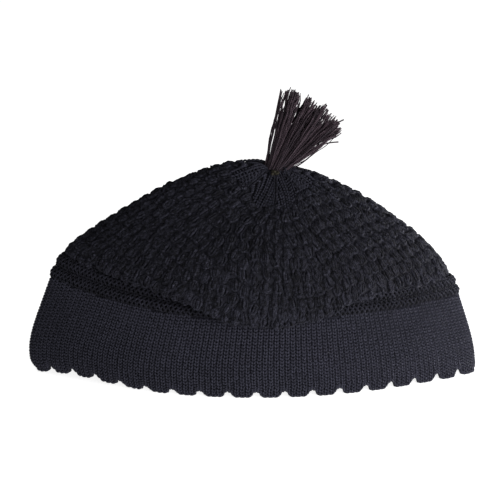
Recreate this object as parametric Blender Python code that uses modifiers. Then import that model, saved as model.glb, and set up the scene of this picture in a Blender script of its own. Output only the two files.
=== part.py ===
"""Knitted skullcap with a thread tassel, standing on its scalloped rim.

The cap has been pressed from front to back, as it is after being stored folded, so every level is a
lens with its two points at the left and right. -Y is the side that the photograph shows, +X is to
the right in it and +Z is up.
"""
import math
from collections import namedtuple

import bmesh
import bpy

# cap, outer surface, in metres
HALF_WIDTH = 0.1167
HALF_DEPTH = 0.0495
CAP_HEIGHT = 0.1120

# thickness of each knit, taken inward
BAND_WALL = 0.0030
WELT_WALL = 0.0030
CROWN_WALL = 0.0045
STAR_WALL = 0.0025

# clearances between pieces
WELT_GAP = 0.00035
CROWN_GAP = 0.0005
STAR_GAP = 0.0010
LIP_CLEARANCE = 0.0012
THREAD_GAP = 0.0003

# scalloped hem
LOBES = 36
NOTCH_DEPTH = 0.0032
HEM_CUT = 0.0008

# welts, and the lip of the crown that hangs over them at the front
WELT_BULGE = 0.0013
CROWN_EDGE = 0.0012
LIP_DROP = 0.0122
LIP_X = 0.0080
LIP_HALF_WIDTH = 0.0370
LIP_SWELL_WIDTH = 0.0700

# star of smooth wedges around the pole
WEDGES = 8
WEDGE_POINT = 0.75
COLUMNS_A_WEDGE = 9
WELT_COLUMNS = 72

# knot and tassel, placed from the pole
KNOT_WIDTH = 0.0048
KNOT_THICKNESS = 0.0028
KNOT_FORWARD = 0.0055
TASSEL_ASIDE = 0.0020
TASSEL_BEHIND = 0.0018
TASSEL_LENGTH = 0.0400
HEAD_WIDTH = 0.0140
HEAD_DEPTH = 0.0086
HEAD_HEIGHT = 0.0080
LOCK_ROOT_RADIUS = 0.0017
LOCK_TIP_RADIUS = 0.0013

# One level of the wall. left and right are shares of HALF_WIDTH, front, back and end (how far back the two
# points lie) of HALF_DEPTH, the four rises of CAP_HEIGHT, and lip of the lip's drop and swell. The
# smaller a pinch, the sharper the point at that side.
Section = namedtuple(
    "Section",
    "left right front back end rise_left rise_right rise_front rise_back lip pinch_left pinch_right",
)

BAND_SECTIONS = [
    Section(0.966, 1.001, 0.956, 1.003, 0.00, 0.000, 0.000, 0.000, 0.000, 0.0, 0.46, 0.40),
    Section(1.002, 1.002, 0.962, 1.0055, 0.00, 0.055, 0.050, 0.050, 0.055, 0.0, 0.46, 0.40),
    Section(0.990, 0.984, 0.954, 0.984, 0.00, 0.190, 0.165, 0.160, 0.180, 0.0, 0.46, 0.40),
    Section(0.900, 0.919, 0.848, 0.879, 0.00, 0.457, 0.377, 0.348, 0.429, 0.0, 0.47, 0.45),
]
WELT_TOP = Section(0.843, 0.884, 0.790, 0.855, 0.00, 0.568, 0.464, 0.442, 0.522, 0.0, 0.60, 0.58)
CROWN_SECTIONS = [
    Section(0.828, 0.870, 0.864, 0.865, 0.00, 0.568, 0.464, 0.442, 0.522, 1.00, 0.70, 0.68),
    Section(0.784, 0.840, 0.891, 0.853, 0.00, 0.627, 0.536, 0.506, 0.588, 0.70, 0.68, 0.66),
    Section(0.720, 0.788, 0.893, 0.812, 0.00, 0.675, 0.601, 0.558, 0.638, 0.28, 0.68, 0.65),
    Section(0.634, 0.705, 0.849, 0.747, 0.00, 0.734, 0.680, 0.614, 0.692, 0.06, 0.70, 0.67),
    Section(0.531, 0.604, 0.776, 0.671, 0.00, 0.800, 0.757, 0.665, 0.746, 0.00, 0.72, 0.70),
    Section(0.420, 0.499, 0.691, 0.582, -0.01, 0.866, 0.830, 0.712, 0.797, 0.00, 0.75, 0.73),
    Section(0.308, 0.408, 0.606, 0.485, -0.02, 0.923, 0.882, 0.755, 0.845, 0.00, 0.80, 0.80),
    Section(0.210, 0.341, 0.541, 0.392, -0.03, 0.962, 0.916, 0.786, 0.880, 0.00, 0.88, 0.86),
    Section(0.120, 0.291, 0.495, 0.313, -0.04, 0.991, 0.939, 0.805, 0.909, 0.00, 0.95, 0.92),
]
WEDGE_TOP = Section(0.065, 0.255, 0.402, 0.227, -0.05, 1.003, 0.956, 0.849, 0.938, 0.00, 1.00, 1.00)
STAR_SECTIONS = [
    Section(0.039, 0.236, 0.364, 0.192, -0.06, 1.007, 0.963, 0.871, 0.952, 0.00, 1.00, 1.00),
    Section(-0.030, 0.171, 0.232, 0.081, -0.07, 1.010, 0.979, 0.930, 0.982, 0.00, 1.00, 1.00),
    Section(-0.087, 0.113, 0.113, -0.053, -0.083, 0.988, 0.986, 0.977, 0.991, 0.00, 1.00, 1.00),
]

# Where the rim curls up. turn and spread are shares of a turn, lift and fade, the height at which the curl
# has died out, are shares of CAP_HEIGHT.
Curl = namedtuple("Curl", "turn spread lift fade")
RIM_CURL = Curl(0.560, 0.055, 0.0384, 0.3570)

# One lock of the tassel. root is a share of half the head's width, x, y and z place the end of the lock
# as shares of TASSEL_LENGTH from the head's middle, and bow is its sideways bend in the same shares.
Lock = namedtuple("Lock", "root x y z bow")
LOCKS = [
    Lock(-0.76, 0.01, -0.05, 0.90, -0.03),
    Lock(-0.66, 0.07, 0.09, 0.95, -0.03),
    Lock(-0.54, 0.14, -0.12, 0.95, -0.02),
    Lock(-0.42, 0.20, 0.03, 0.93, -0.02),
    Lock(-0.30, 0.27, 0.16, 0.88, -0.01),
    Lock(-0.24, 0.31, -0.11, 0.87, -0.01),
    Lock(-0.12, 0.37, 0.00, 0.85, 0.00),
    Lock(0.00, 0.43, 0.13, 0.82, 0.00),
    Lock(0.08, 0.48, -0.12, 0.80, 0.01),
    Lock(0.18, 0.54, 0.02, 0.76, 0.01),
    Lock(0.30, 0.60, -0.10, 0.71, 0.02),
    Lock(0.36, 0.64, 0.10, 0.67, 0.02),
    Lock(0.46, 0.70, -0.03, 0.63, 0.03),
    Lock(0.56, 0.76, 0.06, 0.57, 0.03),
    Lock(0.62, 0.79, -0.07, 0.50, 0.03),
    Lock(0.72, 0.82, 0.02, 0.43, 0.04),
]


def clear_scene():
    """Removes whatever the file opened with."""
    for thing in list(bpy.data.objects):
        bpy.data.objects.remove(thing)
    for folder in list(bpy.data.collections):
        bpy.data.collections.remove(folder)


def mix(a, b, share):
    """Goes from tuple a to tuple b by a share."""
    return tuple(p + (q - p) * share for p, q in zip(a, b))


def pushed_out(row, length):
    """A section moved outward by a length in metres."""
    return row._replace(
        left=row.left + length / HALF_WIDTH,
        right=row.right + length / HALF_WIDTH,
        front=row.front + length / HALF_DEPTH,
        back=row.back + length / HALF_DEPTH,
    )


def raised(row, length):
    """A section moved up by a length in metres."""
    rise = length / CAP_HEIGHT
    return row._replace(
        rise_left=row.rise_left + rise,
        rise_right=row.rise_right + rise,
        rise_front=row.rise_front + rise,
        rise_back=row.rise_back + rise,
    )


def point_at(row, angle):
    """The place on a section at an angle: 0 is the right-hand point, pi the left-hand one."""
    along = math.cos(angle)
    across = math.sin(angle)
    x = HALF_WIDTH * ((row.right - row.left) / 2 + along * (row.right + row.left) / 2)
    pinch = row.pinch_left * (1 - along) / 2 + row.pinch_right * (1 + along) / 2
    profile = abs(across) * math.sqrt(across * across + pinch * pinch) / math.sqrt(1 + pinch * pinch)
    deepest = -row.front if across < 0 else row.back
    y = HALF_DEPTH * (row.end + (deepest - row.end) * profile)
    end_rise = row.rise_right if along > 0 else row.rise_left
    side_rise = row.rise_back if across > 0 else row.rise_front
    z = CAP_HEIGHT * (end_rise * along * along + side_rise * across * across)
    if across < 0:
        aside = abs(x - LIP_X)
        swell = WELT_BULGE + LIP_CLEARANCE + CROWN_WALL
        y -= swell * row.lip * math.exp(-((aside / LIP_SWELL_WIDTH) ** 4)) * profile
        z -= LIP_DROP * row.lip * math.exp(-((aside / LIP_HALF_WIDTH) ** 2.6))
    return (x, y, z)


def place_around(row, turns):
    """Points of a section at shares of a turn that are even along its edge, back half first."""
    steps = 160
    halves = []
    for start in (0.0, math.pi):
        angles = [start + math.pi * k / steps for k in range(steps + 1)]
        spots = [point_at(row, angle) for angle in angles]
        reach = [0.0]
        for a, b in zip(spots, spots[1:]):
            reach.append(reach[-1] + math.dist(a[:2], b[:2]))
        halves.append((angles, reach))
    points = []
    for turn in turns:
        angles, reach = halves[0] if turn < 0.5 else halves[1]
        wanted = (turn * 2 % 1.0) * reach[-1]
        k = max(i for i in range(steps) if reach[i] <= wanted)
        share = (wanted - reach[k]) / (reach[k + 1] - reach[k])
        points.append(point_at(row, angles[k] + (angles[k + 1] - angles[k]) * share))
    return points


def hem_curl(turn, rise):
    """How far the rim is curled up near the left end of the front, fading out with height."""
    near = math.exp(-(((turn - RIM_CURL.turn) / RIM_CURL.spread) ** 2))
    return RIM_CURL.lift * CAP_HEIGHT * near * max(0.0, 1.0 - rise / (RIM_CURL.fade * CAP_HEIGHT))


def seat_height(surface, x, y, radii):
    """How high the middle of a ball at x, y stands when it rests on a surface, given as points."""
    height = 0.0
    for spot in surface:
        off = ((spot[0] - x) / radii[0]) ** 2 + ((spot[1] - y) / radii[1]) ** 2
        if off < 1.0:
            height = max(height, spot[2] + THREAD_GAP + radii[2] * math.sqrt(1.0 - off))
    return height


def paint(thing, colour):
    """Gives an object its own material."""
    material = bpy.data.materials.new(thing.name + "_yarn")
    material.use_nodes = True
    shader = material.node_tree.nodes["Principled BSDF"]
    shader.inputs["Base Color"].default_value = (*colour, 1.0)
    shader.inputs["Roughness"].default_value = 0.9
    thing.data.materials.append(material)


def sheet(name, rings, wall, colour, close_top=False):
    """An open surface through rings of equally many points, thickened inward."""
    count = len(rings[0])
    points = [spot for ring in rings for spot in ring]
    faces = []
    for r in range(len(rings) - 1):
        for k in range(count):
            j = (k + 1) % count
            faces.append((r * count + k, r * count + j, (r + 1) * count + j, (r + 1) * count + k))
    if close_top:
        last = (len(rings) - 1) * count
        points.append(tuple(sum(spot[i] for spot in rings[-1]) / count for i in range(3)))
        for k in range(count):
            faces.append((last + k, last + (k + 1) % count, len(points) - 1))
    mesh = bpy.data.meshes.new(name)
    mesh.from_pydata(points, [], faces)
    mesh.update()
    thing = bpy.data.objects.new(name, mesh)
    cap.objects.link(thing)
    shell = thing.modifiers.new("wall", "SOLIDIFY")
    shell.thickness = wall
    shell.offset = -1.0
    paint(thing, colour)
    return thing


def ball(name, middle, radii, colour, segments, rings):
    """A squashed ball with its size and place in its mesh."""
    work = bmesh.new()
    bmesh.ops.create_uvsphere(work, u_segments=segments, v_segments=rings, radius=1.0)
    for vert in work.verts:
        vert.co = tuple(m + r * c for m, r, c in zip(middle, radii, vert.co))
    mesh = bpy.data.meshes.new(name)
    work.to_mesh(mesh)
    work.free()
    thing = bpy.data.objects.new(name, mesh)
    cap.objects.link(thing)
    paint(thing, colour)
    return thing


def add_lock(work, head, lock, sides=5):
    """Adds one closed tapered lock, from inside the head to its end."""
    start = (head[0] + lock.root * HEAD_WIDTH / 2, head[1] + lock.y * HEAD_DEPTH, head[2])
    end = tuple(h + share * TASSEL_LENGTH for h, share in zip(head, lock[1:4]))
    lean = math.atan2(end[0] - start[0], end[2] - start[2])
    rings = []
    for share in (0.0, 0.35, 0.7, 1.0):
        middle = mix(start, end, share)
        bend = lock.bow * TASSEL_LENGTH * math.sin(math.pi * share)
        radius = LOCK_ROOT_RADIUS + (LOCK_TIP_RADIUS - LOCK_ROOT_RADIUS) * share
        ring = []
        for k in range(sides):
            angle = 2 * math.pi * (k / sides + lock.y)
            across = bend + radius * math.cos(angle)
            ring.append(work.verts.new((
                middle[0] + across * math.cos(lean),
                middle[1] + radius * math.sin(angle),
                middle[2] - across * math.sin(lean),
            )))
        rings.append(ring)
    for low, high in zip(rings, rings[1:]):
        for k in range(sides):
            j = (k + 1) % sides
            work.faces.new((low[k], low[j], high[j], high[k]))
    work.faces.new(list(reversed(rings[0])))
    work.faces.new(rings[-1])


def cutter(name, work):
    """Puts a bmesh among the objects that only cut or join."""
    mesh = bpy.data.meshes.new(name)
    work.to_mesh(mesh)
    work.free()
    thing = bpy.data.objects.new(name, mesh)
    thing.hide_render = True
    thing.display_type = "WIRE"
    cutters.objects.link(thing)
    return thing


clear_scene()
cap = bpy.data.collections.new("knitted_skullcap")
cutters = bpy.data.collections.new("cutters")
bpy.context.scene.collection.children.link(cap)
bpy.context.scene.collection.children.link(cutters)

# Band: each lobe has six columns, the first in the middle of a notch, with shares of the notch's depth
LOBE_COLUMNS = [(0.0, 1.0), (0.10, 0.50), (0.24, 0.22), (0.50, 0.0), (0.76, 0.22), (0.90, 0.50)]
band_turns = [(lobe + share) / LOBES for lobe in range(LOBES) for share, _ in LOBE_COLUMNS]
edge_rise = [rise * NOTCH_DEPTH for _ in range(LOBES) for _, rise in LOBE_COLUMNS]
band_rings = []
for level, section in enumerate(BAND_SECTIONS):
    ring = []
    for turn, notch, (x, y, z) in zip(band_turns, edge_rise, place_around(section, band_turns)):
        if level == 0:
            z += notch - HEM_CUT
        ring.append((x, y, z + hem_curl(turn, max(z, 0.0))))
    band_rings.append(ring)
band = sheet("band", band_rings, BAND_WALL, (0.020, 0.020, 0.028))

# The lobes that reach the floor are flat where they rest on it
floor_work = bmesh.new()
bmesh.ops.create_cube(floor_work, size=1.0)
for vert in floor_work.verts:
    vert.co = (vert.co.x * HALF_WIDTH * 3, vert.co.y * HALF_DEPTH * 4, (vert.co.z - 0.5) * HEM_CUT * 20)
flat = band.modifiers.new("rests_on_floor", "BOOLEAN")
flat.operation = "DIFFERENCE"
flat.solver = "EXACT"
flat.object = cutter("floor_cutter", floor_work)

# Two welts between the band and the crown
welt_turns = [k / WELT_COLUMNS for k in range(WELT_COLUMNS)]
welt_foot = raised(BAND_SECTIONS[-1], WELT_GAP)
welt_split = Section(*mix(welt_foot, WELT_TOP, 0.5))
for name, low, high in (
    ("lower_welt", welt_foot, raised(welt_split, -WELT_GAP / 2)),
    ("upper_welt", raised(welt_split, WELT_GAP / 2), WELT_TOP),
):
    welt_rings = []
    for share, bulge in ((0.0, 0.0), (0.28, 0.9), (0.72, 0.9), (1.0, 0.0)):
        level = pushed_out(Section(*mix(low, high, share)), bulge * WELT_BULGE)
        welt_rings.append(place_around(level, welt_turns))
    sheet(name, welt_rings, WELT_WALL, (0.014, 0.014, 0.020))

# Crown, from a short upright edge above the welts to a zigzag that the wedges of the star fit into
crown_turns = [k / (WEDGES * COLUMNS_A_WEDGE) for k in range(WEDGES * COLUMNS_A_WEDGE)]
zigzag = [WEDGE_POINT * abs(2 * (turn * WEDGES % 1.0) - 1) for turn in crown_turns]
crown_edge = raised(CROWN_SECTIONS[0], CROWN_GAP)
crown_levels = [crown_edge, raised(crown_edge, CROWN_EDGE)] + CROWN_SECTIONS[1:]
crown_rings = [place_around(level, crown_turns) for level in crown_levels]
outer_ring = crown_rings.pop()
inner_ring = place_around(WEDGE_TOP, crown_turns)
crown_rings.append([mix(a, b, share) for a, b, share in zip(outer_ring, inner_ring, zigzag)])
sheet("crown", crown_rings, CROWN_WALL, (0.012, 0.012, 0.018))

star_rings = [[
    mix(a, b, share + STAR_GAP / math.dist(a, b)) for a, b, share in zip(outer_ring, inner_ring, zigzag)
]]
star_rings += [place_around(level, crown_turns) for level in STAR_SECTIONS]
sheet("crown_star", star_rings, STAR_WALL, (0.016, 0.016, 0.024), close_top=True)

# Places on the star for the knot and the tassel
pole = [sum(spot[i] for spot in star_rings[-1]) / len(star_rings[-1]) for i in range(3)]
star_surface = [tuple(pole)]
for low, high in zip(star_rings, star_rings[1:] + [[tuple(pole)] * len(crown_turns)]):
    for step in range(12):
        star_surface += [mix(a, b, step / 12) for a, b in zip(low, high)]

# Knot of thread that holds the tassel
knot_radii = (KNOT_WIDTH / 2, KNOT_THICKNESS / 2, KNOT_THICKNESS / 2)
knot_x, knot_y = pole[0] - 0.1 * KNOT_WIDTH, pole[1] - KNOT_FORWARD
knot_at = (knot_x, knot_y, seat_height(star_surface, knot_x, knot_y, knot_radii))
ball("tassel_knot", knot_at, knot_radii, (0.060, 0.045, 0.020), 12, 8)

# Tassel: locks fused to a head
head_radii = (HEAD_WIDTH / 2, HEAD_DEPTH / 2, HEAD_HEIGHT / 2)
head_x, head_y = pole[0] + TASSEL_ASIDE, pole[1] + TASSEL_BEHIND
head_at = (head_x, head_y, seat_height(star_surface, head_x, head_y, head_radii))
tassel = ball("tassel", head_at, head_radii, (0.035, 0.018, 0.018), 14, 8)
lock_work = bmesh.new()
for lock in LOCKS:
    add_lock(lock_work, head_at, lock)
bmesh.ops.recalc_face_normals(lock_work, faces=lock_work.faces)
fused = tassel.modifiers.new("locks_fused", "BOOLEAN")
fused.operation = "UNION"
fused.solver = "EXACT"
fused.use_self = True
fused.object = cutter("locks", lock_work)
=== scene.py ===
"""Knitted skullcap with a thread tassel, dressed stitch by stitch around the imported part."""
from collections import namedtuple

import bpy
import numpy as np
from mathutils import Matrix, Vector


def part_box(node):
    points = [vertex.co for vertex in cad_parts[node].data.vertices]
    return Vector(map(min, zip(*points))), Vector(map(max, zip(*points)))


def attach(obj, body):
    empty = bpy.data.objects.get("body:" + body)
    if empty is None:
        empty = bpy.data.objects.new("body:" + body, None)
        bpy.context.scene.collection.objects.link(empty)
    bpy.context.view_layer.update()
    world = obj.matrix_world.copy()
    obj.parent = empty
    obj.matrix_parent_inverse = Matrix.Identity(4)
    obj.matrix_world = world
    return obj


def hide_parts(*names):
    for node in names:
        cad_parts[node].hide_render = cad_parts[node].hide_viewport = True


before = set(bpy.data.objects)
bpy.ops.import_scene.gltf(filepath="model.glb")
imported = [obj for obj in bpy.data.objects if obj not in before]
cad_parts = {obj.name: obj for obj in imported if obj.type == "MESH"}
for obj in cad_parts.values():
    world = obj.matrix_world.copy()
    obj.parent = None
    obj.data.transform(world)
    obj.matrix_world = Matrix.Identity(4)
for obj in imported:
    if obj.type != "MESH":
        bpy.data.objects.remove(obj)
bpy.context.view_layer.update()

# Headband
# The real band is plain stockinette knitted in the round from one thick black yarn: 180 upright rows of
# V stitches. The lower edge is drawn up into 36 scallops of five rows each and bound with small loops.

HALF_WIDTH = 0.1167
HALF_DEPTH = 0.0495
CAP_HEIGHT = 0.1120
LIP_X = 0.0080
LIP_DROP = 0.0122
LIP_HALF_WIDTH = 0.0370
LIP_SWELL = 0.0070
LIP_SWELL_WIDTH = 0.0700

# One level a row: left and right reach as shares of HALF_WIDTH, front and back reach and the setback of
# the two ends as shares of HALF_DEPTH, rises at left, right, front and back as shares of CAP_HEIGHT,
# the share of the lip, and how blunt the left and right ends are.
BAND_LEVELS = np.array([
    (0.966, 1.001, 0.956, 1.0030, 0, 0.000, 0.000, 0.000, 0.000, 0, 0.46, 0.40),
    (1.002, 1.002, 0.962, 1.0055, 0, 0.055, 0.050, 0.050, 0.055, 0, 0.46, 0.40),
    (0.990, 0.984, 0.954, 0.9840, 0, 0.190, 0.165, 0.160, 0.180, 0, 0.46, 0.40),
    (0.900, 0.919, 0.848, 0.8790, 0, 0.457, 0.377, 0.348, 0.429, 0, 0.47, 0.45),
])
BAND_WALL = 0.0030
WALES = 180
COURSES = 33
COURSE = 0.00163
RIDGE = 0.00022
BAND_YARN = 0.00062
STITCH_SINK = 0.0007
STITCH_LIFT = 0.00030
STITCH_WANDER = 0.03
STITCH_CLEAR = 0.0007
TOP_OVERLAP = 0.0006

# Hem: it is drawn up in notches between lobes, thinner, rolled outward and, at the left end, curled up. Half
# widths of a notch are in lobes, and a spread or place round the cap is in turns from the right end, back
# first. A fade is the height in which a change of the hem falls to about a third.
LOBES = 36
NOTCH = 0.0036
NOTCH_SHARE = 0.87
NOTCH_HALF_WIDTH = 0.160
NOTCH_ROUNDING = 0.30
NOTCH_FADE = 0.0040
HEM_THIN = 0.0016
HEM_THIN_FADE = 0.0030
HEM_LEAN = 0.0043
HEM_LEAN_HEIGHT = 0.0060
HEM_CURL = 0.0043
HEM_CURL_TURN = 0.560
HEM_CURL_SPREAD = 0.055
HEM_CURL_RISE = 0.0400
FLARE = 0.0003
FLARE_LEFT = 0.0022
FLARE_RIGHT = 0.0020
FLARE_TURN = 0.545
FLARE_SPREAD = 0.060
FLARE_NOTCH = 0.2
FLARE_FADE = 0.0030
BINDING_REACH = 0.46
BINDING_TOP = 0.0016
BINDING_HANG = 0.0011
BINDING_SINK = 0.0003
BINDING_YARN = 0.00070
BINDING_CLEAR = 0.00065

# Columns of cloth in the whole round, and how far each of the ten in a lobe is drawn aside at the hem, in
# lobes. ROUND columns of points and PLAN_ANGLES to a half turn carry a wall's form.
CLOTH_COLUMNS = 10 * LOBES
COLUMNS_DRAWN = (0, -0.02, -0.07, -0.12, -0.15, 0, 0.15, 0.12, 0.07, 0.02)
COLUMNS_FADE = 0.0060
ROUND = 1440
PLAN_ANGLES = 241

# Yarn: its plies, the length of one turn of their twist, the bulge of a cut end in radii of the yarn, and the
# width of the patches in which it has faded
PLIES = 2
TWIST = 0.0020
YARN_TIP = 0.8
FADED_MM = 30

Wall = namedtuple("Wall", "skin lengths marks")
rng = np.random.default_rng(36)


def level_points(levels, angle):
    """Points of a level at angles from the right end. With along = cos and across = sin of the angle, x runs
    between the two reaches as along does, and y from the setback of the ends to the reach as the profile
    |across| sqrt((across2 + blunt2) / (1 + blunt2)) does. z mixes end and side rises by along2 and across2.
    At the front the lip adds a swell and a drop round its middle."""
    left, right, front, back, end = levels[:5]
    rise_left, rise_right, rise_front, rise_back = levels[5:9]
    lip, blunt_l, blunt_r = levels[9:]
    along, across = np.cos(angle), np.sin(angle)
    x = HALF_WIDTH * ((right - left) + along * (right + left)) / 2
    blunt = blunt_l * (1 - along) / 2 + blunt_r * (1 + along) / 2
    profile = np.abs(across) * np.sqrt((across**2 + blunt**2) / (1 + blunt**2))
    y = HALF_DEPTH * (end + (np.where(across < 0, -front, back) - end) * profile)
    end_rise = np.where(along > 0, rise_right, rise_left)
    side_rise = np.where(across > 0, rise_back, rise_front)
    z = CAP_HEIGHT * (end_rise * along**2 + side_rise * across**2)
    aside = np.abs(x - LIP_X)
    front_lip = lip * (across < 0)
    y = y - LIP_SWELL * front_lip * np.exp(-((aside / LIP_SWELL_WIDTH) ** 4)) * profile
    z = z - LIP_DROP * front_lip * np.exp(-((aside / LIP_HALF_WIDTH) ** 2.6))
    return np.stack([x, y, z], axis=-1)


def between_levels(levels, steps):
    """Rows between levels on a smooth curve through them, each the cubic of the four nearest levels."""
    padded = np.vstack([2 * levels[0] - levels[1], levels, 2 * levels[-1] - levels[-2]])
    place = np.linspace(0, len(levels) - 1, (len(levels) - 1) * steps + 1)
    k = np.minimum(place.astype(int), len(levels) - 2)
    t = (place - k)[:, None]
    a, b, c, d = (padded[k + i] for i in range(4))
    return b + t * ((c - a) + t * ((2 * a - 5 * b + 4 * c - d) + t * (3 * b - a - 3 * c + d))) / 2


def spread(points, reach, count):
    """Respaces points along their first axis so that reach, the length from the first one, grows evenly."""
    wanted = np.linspace(0, 1, count)[:, None] * reach[-1]
    low = np.clip((reach[None] <= wanted[:, None]).sum(1) - 1, 0, len(reach) - 2)
    start = np.take_along_axis(reach, low, 0)
    step = np.maximum(np.take_along_axis(reach, low + 1, 0) - start, 1e-12)
    share = ((wanted - start) / step)[..., None]
    below = np.take_along_axis(points, low[..., None], 0)
    above = np.take_along_axis(points, low[..., None] + 1, 0)
    return below + (above - below) * share


def length_along(points):
    """Length from the first point of each column of points to each later one."""
    step = np.linalg.norm(np.diff(points, axis=0), axis=-1)
    return np.concatenate([np.zeros((1,) + step.shape[1:]), np.cumsum(step, axis=0)])


def knit_wall(levels, steps, rows):
    """A wall of the cap through its levels: (rows, ROUND + 1) points even along each upright row and even
    round each level in plan, back half first from the right end. The skin holds each point, its outward
    normal (across x up) and its stretch in metres a turn. marks are the heights of the levels."""
    smooth = between_levels(np.asarray(levels, float), steps).T[:, None, :]
    halves = []
    for start in (0.0, np.pi):
        angle = start + np.linspace(0, np.pi, PLAN_ANGLES)[:, None]
        points = level_points(smooth, angle)
        halves.append(spread(points, length_along(points[..., :2]), ROUND // 2 + 1))
    points = np.concatenate([halves[0][:-1], halves[1]]).transpose(1, 0, 2)
    turn = np.linspace(0, 1, ROUND + 1)
    near = np.exp(-(((turn - HEM_CURL_TURN) / HEM_CURL_SPREAD) ** 2))
    points[..., 2] += HEM_CURL * near * np.clip(1 - points[..., 2] / HEM_CURL_RISE, 0, 1)
    reach = length_along(points)
    marks = reach[::steps]
    points = spread(points, reach, rows)
    around = np.concatenate([points[:, -2:-1], points, points[:, 1:2]], axis=1)
    across = (around[:, 2:] - around[:, :-2]) * ROUND / 2
    up = np.gradient(points, axis=0)
    normal = np.cross(across, up)
    normal /= np.maximum(np.linalg.norm(normal, axis=-1, keepdims=True), 1e-12)
    stretch = np.linalg.norm(across, axis=-1, keepdims=True)
    return Wall(np.concatenate([points, normal, stretch], axis=-1), reach[-1], marks)


def along_top(values, turn):
    """Reads a value kept for each column of a wall at shares of a turn, mixing the two nearest."""
    place = np.mod(turn, 1.0) * (len(values) - 1)
    low = np.minimum(place.astype(int), len(values) - 2)
    return values[low] + (values[low + 1] - values[low]) * (place - low)


def read_wall(wall, turn, up):
    """Point, normal and stretch of a wall at a share of a turn and a height up it in metres, bilinear. Below
    its foot the wall goes on straight down."""
    turn, up = np.broadcast_arrays(turn, up)
    rows = wall.skin.shape[0] - 1
    place = np.mod(turn, 1.0) * ROUND
    left = np.minimum(place.astype(int), ROUND - 1)
    across = (place - left)[..., None]
    level = up / along_top(wall.lengths, turn) * rows
    low = np.clip(level.astype(int), 0, rows - 1)
    rise = (level - low)[..., None]
    lower = wall.skin[low, left] * (1 - across) + wall.skin[low, left + 1] * across
    upper = wall.skin[low + 1, left] * (1 - across) + wall.skin[low + 1, left + 1] * across
    found = lower + (upper - lower) * rise
    normal = found[..., 3:6] / np.linalg.norm(found[..., 3:6], axis=-1, keepdims=True)
    return found[..., :3], normal, found[..., 6]


def yarn_lengths(paths, normals, radius, shade, sides=4):
    """Closed lengths of yarn: round each point of a path a ring of corners, radius times cos to the side and
    sin along the normal, and one point beyond each end. ply counts turns of the twist, one every TWIST of
    yarn. The shade is given for each length or for each point of each length."""
    count, steps = paths.shape[:2]
    radius = np.broadcast_to(radius, (count, steps))[..., None]
    forward = np.gradient(paths, axis=1)
    forward /= np.linalg.norm(forward, axis=-1, keepdims=True)
    side = np.cross(forward, normals)
    side /= np.linalg.norm(side, axis=-1, keepdims=True)
    lift = np.cross(side, forward)
    corner = 2 * np.pi * np.arange(sides)[:, None] / sides
    ring = np.cos(corner) * side[:, :, None] + np.sin(corner) * lift[:, :, None]
    rings = paths[:, :, None] + radius[..., None] * ring
    first = paths[:, :1] - forward[:, :1] * radius[:, :1] * YARN_TIP
    last = paths[:, -1:] + forward[:, -1:] * radius[:, -1:] * YARN_TIP
    points = np.concatenate([rings.reshape(count, -1, 3), first, last], axis=1)
    step, a = np.meshgrid(np.arange(steps - 1), np.arange(sides), indexing="ij")
    b = (a + 1) % sides
    quads = np.stack([step * sides + a, (step + 1) * sides + a, (step + 1) * sides + b, step * sides + b], -1)
    a, b = np.arange(sides), (np.arange(sides) + 1) % sides
    start, end = np.full(sides, steps * sides), np.full(sides, steps * sides + 1)
    top = (steps - 1) * sides
    tips = np.concatenate([np.stack([a, b, start], -1), np.stack([top + b, top + a, end], -1)])
    base = (np.arange(count) * points.shape[1])[:, None, None]
    reach = length_along(paths.transpose(1, 0, 2)).T[:, :, None] / TWIST
    ply = (reach + np.arange(sides) / sides).reshape(count, -1)
    ply = np.concatenate([ply, ply[:, :1], ply[:, -1:]], axis=1)
    shade = np.asarray(shade, float)
    shade = np.broadcast_to(shade if shade.ndim == 2 else shade.reshape(-1, 1), (count, steps))
    shades = np.concatenate([np.repeat(shade, sides, axis=1), shade[:, :1], shade[:, -1:]], axis=1)
    faces = [(quads.reshape(1, -1, 4) + base).reshape(-1, 4), (tips[None] + base).reshape(-1, 3)]
    return points.reshape(-1, 3), faces, shades.ravel(), ply.ravel()


def shell(rows, shade, poles=None):
    """A closed skin from rows of points that go down the inside and up the outside of a wall. The last row
    joins the first, unless two poles close the ends with fans."""
    count, columns = rows.shape[:2]
    wrap = count if poles is None else count - 1
    r, c = np.meshgrid(np.arange(wrap), np.arange(columns), indexing="ij")
    s, d = (r + 1) % count, (c + 1) % columns
    quads = np.stack([r * columns + c, r * columns + d, s * columns + d, s * columns + c], -1).reshape(-1, 4)
    points, faces = rows.reshape(-1, 3), [quads]
    shades = np.broadcast_to(shade, rows.shape[:2]).ravel()
    if poles is not None:
        a, b = np.arange(columns), (np.arange(columns) + 1) % columns
        top = (count - 1) * columns
        inside, outside = np.full(columns, count * columns), np.full(columns, count * columns + 1)
        faces.append(np.stack([b, a, inside], -1))
        faces.append(np.stack([top + a, top + b, outside], -1))
        points = np.vstack([points, poles])
        shades = np.append(shades, [shades[0], shades[-1]])
    return points, faces, shades, np.zeros(len(points))


def tones(middle, scatter, count):
    """Random shades of yarn round a middle, one for each length of it, kept between 0 and 1."""
    return np.clip(rng.normal(middle, scatter, count), 0, 1)


def knit_piece(name, parts, yarn, slot, *nodes):
    """Joins parts, each points, faces, shade and ply, into one piece that stands for CAD nodes."""
    points, faces, offset = [], [], 0
    for part in parts:
        points.append(part[0])
        for group in part[1]:
            faces += (group + offset).tolist()
        offset += len(part[0])
    mesh = bpy.data.meshes.new(name)
    mesh.from_pydata(np.concatenate(points), [], faces)
    for word, place in (("shade", 2), ("ply", 3)):
        layer = mesh.attributes.new(word, "FLOAT", "POINT")
        layer.data.foreach_set("value", np.concatenate([part[place] for part in parts]).astype(np.float32))
    mesh.shade_smooth()
    mesh.materials.append(yarn)
    piece = bpy.data.objects.new(name, mesh)
    bpy.context.scene.collection.objects.link(piece)
    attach(piece, "root")
    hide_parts(*nodes)


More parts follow.
